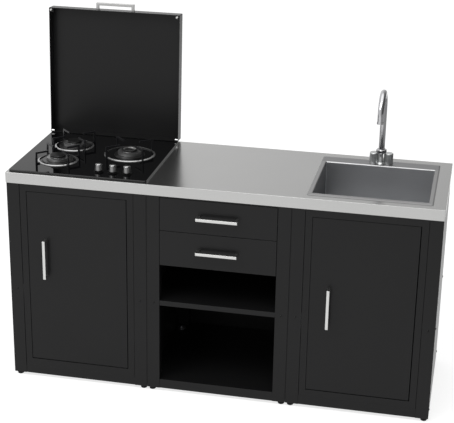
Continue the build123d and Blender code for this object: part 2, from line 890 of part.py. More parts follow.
def gas_parts():
    for name, x in zip(("left", "middle", "right"), knob_x):
        save(f"{name}_knob", gas_knob(x))
        save(f"{name}_spindle", rod(x, knob_y, (spindle_low, spindle_high), spindle_radius))
    rings = [rod(x, knob_y, (glass_top, glass_top + ring_height), ring_radius)
             - rod(x, knob_y, (glass_top, glass_top + ring_height), spindle_hole_radius) for x in knob_x]
    save("knob_rings", *rings)
    save("gas_manifold", gas_manifold(), rear_tail(inlet_x, inlet_z, inlet_radius))
    low = tray_low + feed_low
    high = tray_low + feed_high
    routes = ((knob_x[0], burners["front"], low), (knob_x[1], burners["wok"], low),
              (knob_x[2], burners["rear"], high))
    save("feed_pipes", *[feed_pipe(*route) for route in routes])


# Lid
lid_x = (hob_x - lid_width / 2, hob_x + lid_width / 2)
lid_axis_y = front + lid_axis_from_front
lid_y = (lid_axis_y - lid_reach, lid_axis_y + lid_behind_axis)
lid_axis = Axis((0, lid_axis_y, lid_axis_z), (1, 0, 0))
lid_inner_x = (lid_x[0] + lid_sheet, lid_x[1] - lid_sheet)


def opened(piece):
    return piece.rotate(lid_axis, -lid_swing)


def hinge_spans():
    """Limits in x of the two hinge blocks, just inside the lid's sides."""
    gap = hinge_side_gap
    yield (lid_inner_x[0] + gap, lid_inner_x[0] + gap + hinge_width), 1
    yield (lid_inner_x[1] - gap - hinge_width, lid_inner_x[1] - gap), -1


def lid_pan():
    s = lid_sheet
    outer = box(lid_x, lid_y, (lid_rim, lid_top))
    outer = fillet(outer.edges().group_by(Axis.Z)[-1] + outer.edges().filter_by(Axis.Z), lid_bend)
    inside = box(lid_inner_x, (lid_y[0] + s, lid_y[1] - s), (lid_rim, lid_top - s))
    pan = outer - inside
    low = (lid_rim, lid_rim + s)
    for x in (lid_inner_x[0], lid_inner_x[1] - lid_corner_plate):
        pan += box((x, x + lid_corner_plate), (lid_y[0] + s, lid_y[0] + s + lid_corner_plate), low)
    for span, side in hinge_spans():
        inward = span[1] + hinge_notch_gap if side > 0 else span[0] - hinge_notch_gap
        edge = lid_inner_x[0] if side > 0 else lid_inner_x[1]
        notch = (lid_rim, lid_rim + lid_notch_height)
        pan -= box(sorted((edge, inward)), (lid_y[1] - s - lid_bend, lid_y[1]), notch)
    through = Rot(0, 90, 0) * Cylinder(hinge_pin_radius + hinge_fit, lid_width)
    return pan - Pos(hob_x, lid_axis_y, lid_axis_z) * through


def hinge_block(span, side):
    """Upright block on the glass with the pin through it that the lid's side turns on."""
    level = (glass_top, lid_axis_z)
    block = box(span, (lid_axis_y - hinge_round, lid_axis_y + hinge_round), level)
    inside, outside = (span[1], lid_x[0]) if side > 0 else (span[0], lid_x[1])
    for a, b, radius in ((*span, hinge_round), (outside, inside, hinge_pin_radius),
                         (inside, inside + side * hinge_head, hinge_head_radius)):
        block += Pos((a + b) / 2, lid_axis_y, lid_axis_z) * Rot(0, 90, 0) * Cylinder(radius, abs(b - a))
    return block


def lid_parts():
    save("lid", opened(lid_pan()))
    middle = (lid_rim + lid_top) / 2
    grip = Pos(hob_x, lid_y[0], middle) * bar_handle(lid_handle_length, lid_handle_reach)
    save("lid_handle", opened(grip))
    buffers = []
    for x in (lid_x[0] + buffer_from_side, lid_x[1] - buffer_from_side):
        level = (top + buffer_gap, lid_rim)
        buffers.append(opened(rod(x, lid_y[0] + buffer_from_front, level, buffer_radius)))
    save("lid_buffers", *buffers)
    save("lid_hinges", *[hinge_block(span, side) for span, side in hinge_spans()])
    back = front + worktop_depth - stop_from_back
    skirt = lid_axis_z - lid_behind_axis * cos(lean) - (back - lid_axis_y) * sin(lean)
    stops = []
    reach = stop_size / 2
    for x in (lid_x[0] + stop_from_side, lid_x[1] - stop_from_side):
        stops.append(box((x - reach, x + reach), (back - stop_size, back), (top, skirt - stop_gap)))
    save("lid_stops", *stops)


# Sink
deck = top + sink_rim
bowl_x = (sink_x - bowl_width / 2, sink_x + bowl_width / 2)
bowl_y = (sink_front + bowl_from_front, sink_front + bowl_from_front + bowl_length)
bowl_floor = top - bowl_depth
waste_low = bowl_floor - waste_cup_depth
waste_z = waste_low - waste_elbow_drop
drain_y = (bowl_y[0] + bowl_y[1]) / 2
tap_y = bowl_y[1] + tap_from_bowl


def sink():
    rim = plate(sink_span_x, sink_span_y, (top, deck), sink_corner)
    rim = chamfer(rim.edges().group_by(Axis.Z)[-1], sink_rim_slope, sink_rim_slope_width)
    s = sink_sheet
    outer_x = (bowl_x[0] - s, bowl_x[1] + s)
    outer_y = (bowl_y[0] - s, bowl_y[1] + s)
    shell = plate(outer_x, outer_y, (bowl_floor - s, top), bowl_corner + s)
    hollow = plate(bowl_x, bowl_y, (bowl_floor, deck + s), bowl_corner)
    hollow = fillet(hollow.edges().group_by(Axis.Z)[0], bowl_floor_round)
    body = rim + shell - hollow
    lip = body.edges().filter_by_position(Axis.Z, deck, deck)
    lip = lip.filter_by_position(Axis.X, *outer_x).filter_by_position(Axis.Y, *outer_y)
    body = fillet(lip, bowl_lip)
    body -= rod(sink_x, drain_y, (bowl_floor - s, bowl_floor), waste_hole_radius)
    body -= rod(sink_x, tap_y, (top, deck), shank_hole_radius)
    save("sink", body)


def waste():
    """Flanged strainer cup through the bowl's floor, with a pipe that turns back and out."""
    cup = waste_hole_radius - waste_fit
    bore = waste_tail_radius - waste_tail_wall
    grid_top = bowl_floor + waste_flange
    shell = turned(sink_x, drain_y, [
        (0, waste_low), (cup, waste_low), (cup, bowl_floor), (waste_flange_radius, bowl_floor),
        (waste_flange_radius - waste_flange / 2, grid_top), (0, grid_top), (0, bowl_floor),
        (cup - waste_tail_wall, bowl_floor), (cup - waste_tail_wall, waste_low + waste_tail_wall),
        (0, waste_low + waste_tail_wall)])
    corner = Pos(sink_x, drain_y, waste_z)
    shell += rod(sink_x, drain_y, (waste_z, waste_low), waste_tail_radius)
    shell += corner * Sphere(waste_tail_radius)
    shell += rear_pipe(sink_x, drain_y, waste_z, waste_tail_radius)
    shell += rear_tail(sink_x, waste_z, waste_tail_radius)
    shell -= rod(sink_x, drain_y, (waste_z, waste_low + waste_tail_wall), bore)
    shell -= corner * Sphere(bore)
    shell -= lying(sink_x, (drain_y, tail_end), waste_z, bore)
    hole = rod(grid_hole_circle, 0, (bowl_floor, grid_top), grid_hole_radius)
    for place in around(sink_x, drain_y, grid_hole_count):
        shell -= place * hole
    shell -= rod(sink_x, drain_y, (bowl_floor, grid_top), grid_hole_radius)
    save("sink_waste", shell)


# Tap
valve_y = tap_y + tap_valve_y
shank_low = deck - shank_length
water_z = shank_low - water_block_height / 2
water_x = (sink_x - water_pipe_spread, sink_x + water_pipe_spread)


def tap_body():
    """Bell-shaped column with a short bridge to two valve posts."""
    shoulder = (tap_shoulder_radius, 0, tap_ball_top)
    neck = (tap_neck_radius, 0, tap_neck_start)
    ball = ThreePointArc((tap_foot_radius, 0, tap_foot), (tap_belly_radius, 0, tap_belly), shoulder)
    rest = Polyline(neck, (tap_neck_radius, 0, tap_flare), (tap_head_radius, 0, tap_head_start),
                    (tap_head_radius, 0, tap_head_top), (0, 0, tap_head_top), (0, 0, 0),
                    (tap_foot_radius, 0, 0), (tap_foot_radius, 0, tap_foot))
    profile = make_face(ball + Line(shoulder, neck) + rest)
    column = Pos(sink_x, tap_y, deck) * revolve(profile, Axis.Z)
    bridge = box((sink_x - tap_valve_x, sink_x + tap_valve_x), (tap_y, valve_y), (deck, deck + tap_bridge))
    body = column + bridge
    for side in (-1, 1):
        x = sink_x + side * tap_valve_x
        body += rod(x, valve_y, (deck, deck + tap_valve_height), tap_knob_radius - tap_knob_gap)
        body += rod(x, valve_y, (deck, deck + tap_stem_height), tap_stem_radius)
    bore = (deck + tap_head_top - spigot_length - swivel_gap, deck + tap_head_top)
    return body - rod(sink_x, tap_y, bore, spigot_radius + tap_fit)


def tap_knob(side):
    x = sink_x + side * tap_valve_x
    low = deck + tap_valve_height + tap_knob_gap
    knob = rod(x, valve_y, (low, deck + tap_knob_top), tap_knob_radius)
    knob = fillet(knob.edges().group_by(Axis.Z)[-1], tap_knob_round)
    return knob - rod(x, valve_y, (low, deck + tap_stem_height + swivel_gap), tap_stem_radius + tap_fit)


def tap_collar():
    """Fluted nut that holds the swivel spout on the column."""
    low, high = deck + tap_head_start, deck + collar_top
    nut = rod(sink_x, tap_y, (low, high), collar_radius)
    nut = fillet(nut.edges().filter_by(GeomType.CIRCLE), collar_round)
    flute = rod(collar_radius + collar_flute_radius / 2, 0, (low, high), collar_flute_radius)
    for place in around(sink_x, tap_y, collar_flutes, 180 / collar_flutes):
        nut -= place * flute
    nut -= rod(sink_x, tap_y, (low, deck + tap_head_top), tap_head_radius + tap_fit)
    return nut - rod(sink_x, tap_y, (low, high), spout_radius + tap_fit)


def tap_spout():
    bend = spout_reach / 2
    start = deck + tap_head_top + swivel_gap
    spring = top + spout_top - spout_radius - bend
    tip = tap_y - spout_reach
    crown = (sink_x, tap_y - bend, spring + bend)
    line = (Line((sink_x, tap_y, start), (sink_x, tap_y, spring))
            + ThreePointArc((sink_x, tap_y, spring), crown, (sink_x, tip, spring))
            + Line((sink_x, tip, spring), (sink_x, tip, spring - spout_drop)))
    section = Plane.XY.offset(start) * Pos(sink_x, tap_y)
    tube = sweep(section * Circle(spout_radius), line)
    tube -= sweep(section * Circle(spout_radius - spout_wall), line)
    low = spring - spout_drop
    tube += (rod(sink_x, tip, (low, low + outlet_ring_height), spout_radius + outlet_ring)
             - rod(sink_x, tip, (low, low + outlet_ring_height), spout_radius - spout_wall))
    spigot = rod(sink_x, tap_y, (start - spigot_length, start + spout_wall), spigot_radius)
    return tube + spigot + rod(sink_x, tap_y, (start, start + spout_wall), spout_radius)


def tap_shank():
    """Threaded stud under the ledge with its nut, and a block with two supply pipes to the back."""
    shank = rod(sink_x, tap_y, (shank_low, deck), shank_radius)
    nut = RegularPolygon(shank_nut_across / 2, 6, major_radius=False)
    shank += Pos(sink_x, tap_y, top - shank_nut_height) * extrude(nut, shank_nut_height)
    ends = (water_x[0] - water_block_depth / 2, water_x[1] + water_block_depth / 2)
    depth = (tap_y - water_block_depth / 2, tap_y + water_block_depth / 2)
    shank += box(ends, depth, (shank_low - water_block_height, shank_low))
    for x in water_x:
        shank += rear_pipe(x, tap_y, water_z, water_pipe_radius)
    return shank


def tap():
    save("tap_body", tap_body())
    save("left_tap_knob", tap_knob(-1))
    save("right_tap_knob", tap_knob(1))
    save("tap_collar", tap_collar())
    save("tap_spout", tap_spout())
    save("tap_shank", tap_shank(), *[rear_tail(x, water_z, water_pipe_radius) for x in water_x])


os.makedirs("parts", exist_ok=True)
carcasses()
screw_heads()
doors()
drawers()
worktop()
stiffeners()
hob_plate()
hob_tray()
burners_and_supports()
gas_parts()
lid_parts()
sink()
waste()
tap()
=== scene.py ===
import json
from math import cos, radians, sin

import bmesh
import bpy
from mathutils import Matrix, Vector

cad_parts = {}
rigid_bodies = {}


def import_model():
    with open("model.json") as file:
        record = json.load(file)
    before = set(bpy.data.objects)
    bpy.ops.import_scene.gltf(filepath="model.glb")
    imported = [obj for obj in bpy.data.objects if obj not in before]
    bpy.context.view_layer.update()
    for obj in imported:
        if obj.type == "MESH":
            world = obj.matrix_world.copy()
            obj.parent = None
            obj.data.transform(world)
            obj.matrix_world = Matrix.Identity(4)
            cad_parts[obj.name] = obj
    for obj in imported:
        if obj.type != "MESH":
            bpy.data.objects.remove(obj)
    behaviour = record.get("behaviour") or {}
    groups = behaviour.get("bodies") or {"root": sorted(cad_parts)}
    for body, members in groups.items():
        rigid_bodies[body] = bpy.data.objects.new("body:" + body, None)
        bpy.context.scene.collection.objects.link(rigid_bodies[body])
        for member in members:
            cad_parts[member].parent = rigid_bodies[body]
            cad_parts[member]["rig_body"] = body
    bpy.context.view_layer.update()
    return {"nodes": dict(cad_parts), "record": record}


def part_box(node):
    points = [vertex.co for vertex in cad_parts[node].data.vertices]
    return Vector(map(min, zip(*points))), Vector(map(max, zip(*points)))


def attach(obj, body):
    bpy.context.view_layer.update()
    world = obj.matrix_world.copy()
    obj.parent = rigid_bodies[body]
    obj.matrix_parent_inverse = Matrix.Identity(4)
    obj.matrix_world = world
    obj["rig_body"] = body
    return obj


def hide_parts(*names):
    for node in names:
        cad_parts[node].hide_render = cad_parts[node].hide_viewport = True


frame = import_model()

nodes = frame["nodes"]
slot_of = {part["node"]: part["material_slot"] for part in frame["record"]["subparts"]}

# Photograph: image width, focal length in pixels, and where the camera stood
IMAGE_WIDTH = 454
FOCAL_PIXELS = 1279.83
SENSOR = 36.0
EYE = (0.99645, -5.00075, 2.67783)
YAW, PITCH, ROLL = 0.20115, 0.36337, 0.017985

# Colours of metals and enamels; some are lit or shaded copies of one metal, as painted light and shade
WORKTOP = (0.365, 0.365, 0.36)
# The worktop's front fold: the same steel painted paler, as painted light
APRON_PAINTED_LIT = (0.44, 0.44, 0.435)
BAR = (0.56, 0.56, 0.55)
# The lid handle: the bar steel painted darker, as painted shade
LID_BAR_SHADED = (0.4, 0.4, 0.395)
SINK_RIM = (0.39, 0.39, 0.39)
# The sink's ledge is the rim's steel painted darker, as painted shade; its bowl is the steel painted paler,
# as painted light
SINK_LEDGE_SHADED = (0.33, 0.33, 0.335)
SINK_BOWL_LIT = (0.55, 0.556, 0.568)
SINK_UNDERCOAT = (0.01, 0.01, 0.01)
CHROME = (0.46, 0.46, 0.47)
PLATED = (0.50, 0.51, 0.51)
BRASS = (0.62, 0.46, 0.22)
KNOB_METAL = (0.25, 0.25, 0.25)
BURNER_ALLOY = (0.42, 0.42, 0.42)
BURNER_ENAMEL = (0.006, 0.006, 0.006)
# The bright band on the wok cap's dish wall is a painted highlight
CAP_ENAMEL, CAP_HIGHLIGHT_BAND = (0.005, 0.005, 0.005), (0.75, 0.75, 0.74)
# The trim ring's foot is painted dark, as painted shade, so only its lip shows bright
RING_FOOT_SHADE, RING_TOP = (0.05, 0.05, 0.05), (0.42, 0.42, 0.42)
# The hinges' bright metal top is a painted highlight on black hinges
HINGE_BLOCK, HINGE_HIGHLIGHT = (0.004, 0.004, 0.004), (0.7, 0.7, 0.7)

# Metres: the bowl inside the sink, and places where a finish changes
BOWL_SIDE, BOWL_FRONT, BOWL_BACK, SINK_SHEET = 0.02, 0.025, 0.072, 0.0015
BOWL_DEPTH = 0.17
RING_BRIGHT_FROM, BURNER_BARE_FROM = 0.0021, 0.0049
# Height of the hinges' painted highlight, down from their top
HINGE_HIGHLIGHT_HEIGHT = 0.006
CAP_DISH_RADIUS = 0.026
FINISH_EDGE = 0.0005

# Metres: radius given to the edges of each kind of piece
FRONT_EDGE, SHEET_EDGE, PANEL_EDGE, BAR_EDGE, FINGER_EDGE = 0.0012, 0.0008, 0.0004, 0.001, 0.0012
POINTER_EDGE = 0.0002
EDGE_STEPS = 2

# Meshes: distance at which corners join, and the angles that count as flat and as sharp
JOIN_DISTANCE = 1e-6
FLAT_ANGLE, SHARP_ANGLE = radians(0.5), radians(40)


class Wire:
    """A node socket that takes part in arithmetic; each operator adds a Math node."""

    def __init__(self, tree, socket=None):
        self.tree = tree
        self.socket = socket

    def node(self, kind, settings=None, out=0, **sockets):
        """Any node: its settings first, then values or links for its sockets by name (or _ and index)."""
        made = self.tree.nodes.new(kind)
        for key, value in (settings or {}).items():
            setattr(made, key, value)
        for key, value in sockets.items():
            name = int(key[1:]) if key[0] == "_" else key.replace("__", " ")
            target = made.inputs[name]
            if isinstance(value, Wire):
                self.tree.links.new(value.socket, target)
            else:
                target.default_value = value
        return Wire(self.tree, made.outputs[out] if made.outputs else None)

    def math(self, operation, *values):
        return self.node("ShaderNodeMath", {"operation": operation},
                         **{f"_{k}": value for k, value in enumerate(values)})

    def __add__(self, other):
        return self.math("ADD", self, other)

    def __radd__(self, other):
        return self.math("ADD", other, self)

    def __sub__(self, other):
        return self.math("SUBTRACT", self, other)

    def __rsub__(self, other):
        return self.math("SUBTRACT", other, self)

    def __mul__(self, other):
        return self.math("MULTIPLY", self, other)

    def __rmul__(self, other):
        return self.math("MULTIPLY", other, self)

    def __pow__(self, other):
        return self.math("POWER", self, other)

    def extreme(self, operation, first, *others):
        """The largest (MAXIMUM) or smallest (MINIMUM) of several values."""
        for other in others:
            first = self.math(operation, first, other)
        return first

    def tint(self, dark, light):
        """Colour that runs from dark to light, colours or wires, as this value goes from 0 to 1."""
        dark, light = (colour if isinstance(colour, Wire) else (*colour, 1.0) for colour in (dark, light))
        return self.node("ShaderNodeMix", {"data_type": "RGBA"}, out=2, Factor=self, _6=dark, _7=light)

    def scaled(self, factor):
        """This colour times a value."""
        return self.node("ShaderNodeVectorMath", {"operation": "SCALE"}, _0=self, Scale=factor)

    def bump(self, distance, strength):
        return self.node("ShaderNodeBump", Height=self, Distance=distance, Strength=strength)

    def noise(self, where, scale, detail=3.0, roughness=0.5):
        return self.node("ShaderNodeTexNoise", Vector=where, Scale=scale, Detail=detail, Roughness=roughness)

    def between(self, low, high):
        """0 below low, 1 above high, smooth between."""
        return self.node("ShaderNodeMapRange", {"interpolation_type": "SMOOTHSTEP"},
                         Value=self, From__Min=low, From__Max=high)

    def coordinates(self):
        return self.node("ShaderNodeTexCoord", out="Object")

    def axis(self, where, name):
        return self.node("ShaderNodeSeparateXYZ", out=name, Vector=where)

    def stretched(self, where, scale):
        return self.node("ShaderNodeMapping", Vector=where, Scale=scale)


def finish(name, recipe, **constants):
    """Principled material: constants on its sockets, and what varies from recipe(wire) on the rest."""
    material = bpy.data.materials.new(name)
    material.use_nodes = True
    tree = material.node_tree
    shader = tree.nodes["Principled BSDF"]
    for key, value in constants.items():
        shader.inputs[key.replace("__", " ")].default_value = value
    for key, wire in recipe(Wire(tree)).items():
        tree.links.new(wire.socket, shader.inputs[key])
    return material


def shade(colour, factor):
    return tuple(c * factor for c in colour)


def above(w, where, level):
    """0 below a level, 1 above it."""
    return w.axis(where, "Z").between(level - FINISH_EDGE, level + FINISH_EDGE)


def away_from(w, where, middle):
    """Distance from an upright axis."""
    x, y = (w.axis(where, name) for name in "XY")
    return ((x - middle.x) ** 2.0 + (y - middle.y) ** 2.0) ** 0.5


# Finishes
def powder_coat(w):
    """Fine satin coat with a trace of orange peel and slow cloudiness."""
    where = w.coordinates()
    orange_peel = w.noise(where, 900.0, 2.0)
    cloud = w.noise(where, 3.0, 2.0)
    return {"Base Color": cloud.tint((0.0055, 0.0055, 0.0057), (0.0075, 0.0075, 0.0077)),
            "Roughness": 0.27 + orange_peel * 0.08,
            "Normal": orange_peel.bump(0.0001, 0.25)}


def grain_lines(w, where, along):
    """Fine straight scratches along one axis, as values about a half."""
    fine, long = 260.0, 2.2
    stretch = [long if name == along else fine for name in "XYZ"]
    return w.noise(w.stretched(where, stretch), 5.0, 4.0, 0.65)


def brushed(along, base):
    """Bar ground along one axis."""
    def recipe(w):
        where = w.coordinates()
        lines = grain_lines(w, where, along)
        cloud = w.noise(where, 4.0, 2.0)
        mixed = lines * 0.6 + cloud * 0.4
        return {"Base Color": mixed.tint(shade(base, 0.94), shade(base, 1.06)),
                "Roughness": 0.27 + lines * 0.06,
                "Normal": lines.bump(0.00002, 0.25)}
    return recipe


def worktop_sheet(top, lit_apron, level):
    """Ground sheet, its folded-down edges painted paler than the top, as a painted highlight on the front
    faces.
    """
    fold = level - 0.003, level - 0.001

    def recipe(w):
        where = w.coordinates()
        lines = grain_lines(w, where, "X")
        cloud = w.noise(where, 4.0, 2.0)
        tone = w.axis(where, "Z").between(*fold).tint(lit_apron, top)
        return {"Base Color": tone.scaled(lines * 0.1 + cloud * 0.06 + 0.92),
                "Roughness": 0.2 + lines * 0.06,
                "Normal": lines.bump(0.00002, 0.25)}
    return recipe


def drawn_sheet(deck, low, high):
    """Pressed sheet: grained rim; ledge painted darker, as painted shade; front roll darkened, as painted
    shade over its highlight; bowl a paler copy of the steel, as painted light, and darker towards its floor,
    as painted shade; dark coat outside the bowl.
    """
    rim_slope = deck - 0.0045, deck - 0.0015
    ledge_start = high.y, high.y + 0.004
    front_roll = 0.0185, 0.0205
    outer_face = 0.0004, 0.001
    coat_end = deck - 0.008, deck - 0.006

    def recipe(w):
        where = w.coordinates()
        across, depth, level = (w.axis(where, name) for name in "XYZ")
        grain = w.noise(w.stretched(where, (11.0, 900.0, 900.0)), 1.0, 3.0)
        raised = level.between(*rim_slope)
        # Front roll darkened by half: painted shade over its highlight
        roll_shade = (low.y - depth).between(*front_roll)
        # Bowl darker towards its floor: painted shade in the recess
        bowl_depth_shade = (deck - level).between(0.0, BOWL_DEPTH)
        beyond = w.extreme("MAXIMUM", low.x - across, across - high.x, low.y - depth, depth - high.y,
                           low.z - level)
        coated = beyond.between(*outer_face) * (1.0 - level.between(*coat_end))
        rim_to_shaded_ledge = depth.between(*ledge_start).tint(SINK_RIM, SINK_LEDGE_SHADED)
        tone = coated.tint(raised.tint(SINK_BOWL_LIT, rim_to_shaded_ledge), SINK_UNDERCOAT)
        return {"Base Color": tone.scaled(0.96 + grain * 0.08 - roll_shade * 0.5 - bowl_depth_shade * 0.25),
                "Metallic": 1.0 - coated,
                "Roughness": 0.3 + raised * 0.1 + coated * 0.4 + grain * 0.04}
    return recipe


def painted_dark_below_bright_above(low, high, level, roughness):
    """Dark below a level, bright metal above it; on the trim ring the dark foot is painted shade, on the
    hinges the bright top is a painted highlight.
    """
    def recipe(w):
        where = w.coordinates()
        bare = above(w, where, level)
        film = w.noise(where, 60.0)
        return {"Base Color": bare.tint(low, high), "Metallic": bare,
                "Roughness": roughness + film * 0.08}
    return recipe


def polished(base, low, high):
    """Bright plating with a thin film of handling marks."""
    def recipe(w):
        where = w.coordinates()
        film = w.noise(where, 45.0)
        return {"Base Color": film.tint(shade(base, 0.96), base),
                "Roughness": low + film * (high - low)}
    return recipe


def black_glass(top):
    """Dark polished plate whose ground edges, below its top, mirror more than its face."""
    ground_edge = top - 0.0012, top - 0.0006

    def recipe(w):
        where = w.coordinates()
        film = w.noise(where, 22.0, 4.0)
        return {"Base Color": film.tint((0.0018, 0.0018, 0.002), (0.003, 0.003, 0.0033)),
                "Roughness": 0.02 + film * 0.03,
                "Coat Weight": 1.0 - w.axis(where, "Z").between(*ground_edge)}
    return recipe


def enamel(w):
    """Fired black coat with a fine grain."""
    where = w.coordinates()
    grain = w.noise(where, 1300.0, 2.0)
    return {"Base Color": w.noise(where, 60.0).tint((0.006, 0.006, 0.007), (0.010, 0.010, 0.011)),
            "Roughness": 0.26 + grain * 0.12,
            "Normal": grain.bump(0.0001, 0.4)}


def turned_rings(centres, base, roughness, level=None):
    """Lathe rings about the nearest of several upright axes; black enamel below a level, if one is given."""
    phase_per_metre = 5200.0

    def recipe(w):
        where = w.coordinates()
        nearest = w.extreme("MINIMUM", *[away_from(w, where, middle) for middle in centres])
        rings = w.math("SINE", nearest * phase_per_metre) * 0.5 + 0.5
        cloud = w.noise(where, 120.0)
        metal = cloud.tint(shade(base, 0.92), base)
        looks = {"Base Color": metal,
                 "Roughness": roughness + rings * 0.06 + cloud * 0.05,
                 "Normal": rings.bump(0.00002, 0.3)}
        if level is not None:
            bare = above(w, where, level)
            looks["Base Color"] = bare.tint(BURNER_ENAMEL, metal)
            looks["Metallic"] = bare
        return looks
    return recipe


def dished_cap(middle, radius):
    """Black enamel, with a band of bright metal painted on the wall of the dish about one axis, as a painted
    highlight on the cap's raised edge.
    """
    wall_start = radius - 0.0012, radius - 0.0006
    wall_end = radius + 0.001, radius + 0.002

    def recipe(w):
        where = w.coordinates()
        away = away_from(w, where, middle)
        highlight_band = away.between(*wall_start) * (1.0 - away.between(*wall_end))
        film = w.noise(where, 90.0)
        return {"Base Color": highlight_band.tint(CAP_ENAMEL, CAP_HIGHLIGHT_BAND),
                "Metallic": highlight_band,
                "Roughness": 0.24 + film * 0.1}
    return recipe


def moulded(dark, light, roughness):
    """Matt surface with a fine grain: rubber, ceramic, oxide or paint."""
    def recipe(w):
        where = w.coordinates()
        grain = w.noise(where, 1500.0, 2.0)
        return {"Base Color": w.noise(where, 40.0).tint(dark, light),
                "Roughness": roughness - 0.05 + grain * 0.1,
                "Normal": grain.bump(0.0001, 0.5)}
    return recipe


def zinc_plate(w):
    """Plating with a spangle."""
    where = w.coordinates()
    spangle = w.node("ShaderNodeTexVoronoi", out="Color", Vector=where, Scale=90.0)
    grey = w.node("ShaderNodeRGBToBW", Color=spangle)
    return {"Base Color": grey.tint((0.36, 0.36, 0.38), (0.48, 0.48, 0.5)),
            "Roughness": 0.28 + grey * 0.16}


def centre(node):
    low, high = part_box(node)
    return (low + high) / 2


burner_centres = [centre(f"{name}_pan_support").xy for name in ("front", "rear", "wok")]
wok_centre = burner_centres[2]
knob_names = ("left", "middle", "right")
knob_centres = [centre(f"{name}_knob").xy for name in knob_names]

worktop_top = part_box("hob_seal")[0].z
glass_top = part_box("burner_rings")[0].z
hinge_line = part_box("lid_hinges")[1].z - HINGE_HIGHLIGHT_HEIGHT
sink_low, sink_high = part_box("sink")
bowl_low = sink_low + Vector((BOWL_SIDE, BOWL_FRONT, SINK_SHEET))
bowl_high = sink_high - Vector((BOWL_SIDE, BOWL_BACK, 0.0))

finishes = {
    "black_paint": finish("powder_coat_black", powder_coat, Specular__IOR__Level=0.2),
    "stainless": finish("steel_grain_across", worktop_sheet(WORKTOP, APRON_PAINTED_LIT, worktop_top), Metallic=1.0),
    "sink_steel": finish("sink_satin", drawn_sheet(sink_high.z, bowl_low, bowl_high),
                         Specular__Tint=(0.45, 0.45, 0.45, 1.0)),
    "bright_bar": finish("bar_grain_across", brushed("X", BAR), Metallic=1.0),
    "bright_bar_upright": finish("bar_grain_upright", brushed("Z", BAR), Metallic=1.0),
    "lid_bar": finish("lid_bar_satin", brushed("X", LID_BAR_SHADED), Metallic=1.0),
    "chrome": finish("tap_chrome", polished(CHROME, 0.1, 0.18), Metallic=1.0),
    "satin_chrome": finish("tap_satin_chrome", polished(PLATED, 0.3, 0.4), Metallic=1.0),
    "trim_steel": finish("ring_bright", painted_dark_below_bright_above(RING_FOOT_SHADE, RING_TOP, glass_top + RING_BRIGHT_FROM, 0.3)),
    "black_glass": finish("hob_black_glass", black_glass(glass_top), IOR=1.22, Coat__IOR=1.6,
                          Coat__Roughness=0.1),
    "enamel": finish("support_enamel", enamel, Specular__IOR__Level=0.22),
    "aluminium": finish("burner_dark_alloy", turned_rings(burner_centres, BURNER_ALLOY, 0.3,
                                                          glass_top + BURNER_BARE_FROM)),
    "burner_cap": finish("cap_enamel", dished_cap(wok_centre, CAP_DISH_RADIUS), Specular__IOR__Level=0.2),
    "knob_metal": finish("knob_satin", turned_rings(knob_centres, KNOB_METAL, 0.14), Metallic=1.0),
    "hinge_black": finish("hinge_black_capped", painted_dark_below_bright_above(HINGE_BLOCK, HINGE_HIGHLIGHT, hinge_line, 0.18)),
    "rubber": finish("black_rubber", moulded((0.003, 0.003, 0.003), (0.005, 0.005, 0.005), 0.6),
                     Specular__IOR__Level=0.15),
    "pale_rubber": finish("pale_rubber", moulded((0.42, 0.42, 0.41), (0.5, 0.5, 0.49), 0.6)),
    "zinc": finish("zinc_plate", zinc_plate, Metallic=1.0),
    "black_screw": finish("black_oxide", moulded((0.004, 0.004, 0.004), (0.007, 0.007, 0.007), 0.3),
                          Specular__IOR__Level=0.2),
    "brass": finish("plain_brass", polished(BRASS, 0.25, 0.4), Metallic=1.0),
    "ceramic": finish("dark_ceramic", moulded((0.05, 0.048, 0.045), (0.07, 0.068, 0.064), 0.3)),
}
pointer_paint = finish("pointer_black", moulded((0.006, 0.006, 0.006), (0.01, 0.01, 0.01), 0.4))
own_finish = {
    "left_door_handle": "bright_bar_upright", "right_door_handle": "bright_bar_upright",
    "lid_handle": "lid_bar", "lid_hinges": "hinge_black", "burner_caps": "burner_cap",
    "left_tap_knob": "satin_chrome", "right_tap_knob": "satin_chrome", "tap_body": "satin_chrome",
    "door_pins": "black_screw", "knob_rings": "black_screw",
}
for name, node in nodes.items():
    node.data.materials.clear()
    node.data.materials.append(finishes[own_finish.get(name, slot_of[name])])


def carry(piece, body, replaced=None):
    """Put a finished piece on its body, in place of a plain node where one is named."""
    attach(piece, body)
    if replaced:
        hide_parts(replaced)


def in_scene(name, mesh):
    piece = bpy.data.objects.new(name, mesh)
    bpy.context.scene.collection.objects.link(piece)
    return piece


def worked_out(rough):
    """Plain mesh of an object with its modifiers applied; the object itself goes."""
    bpy.context.view_layer.update()
    graph = bpy.context.evaluated_depsgraph_get()
    mesh = bpy.data.meshes.new_from_object(rough.evaluated_get(graph))
    bpy.data.objects.remove(rough)
    return mesh


def merged(name):
    """The triangles of a node joined into closed shells."""
    shell = bmesh.new()
    shell.from_mesh(nodes[name].data)
    bmesh.ops.remove_doubles(shell, verts=shell.verts, dist=JOIN_DISTANCE)
    return shell


def softened(mesh, width):
    """The mesh with its sharp edges turned to a small radius."""
    mesh.polygons.foreach_set("use_smooth", [True] * len(mesh.polygons))
    rough = in_scene("rough", mesh)
    soften = rough.modifiers.new("edges", "BEVEL")
    soften.width = width
    soften.segments = EDGE_STEPS
    soften.limit_method = "ANGLE"
    soften.angle_limit = SHARP_ANGLE
    soften.harden_normals = True
    return worked_out(rough)


def rounded(name, width):
    """Copy of a node with softened edges, in place of the node."""
    shell = merged(name)
    bmesh.ops.dissolve_limit(shell, angle_limit=FLAT_ANGLE, verts=shell.verts, edges=shell.edges)
    mesh = bpy.data.meshes.new(f"{name}_edges")
    shell.to_mesh(mesh)
    shell.free()
    if "custom_normal" in mesh.attributes:
        mesh.attributes.remove(mesh.attributes["custom_normal"])
    mesh.materials.append(nodes[name].data.materials[0])
    piece = in_scene(f"{name}_rounded", softened(mesh, width))
    carry(piece, nodes[name]["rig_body"], name)


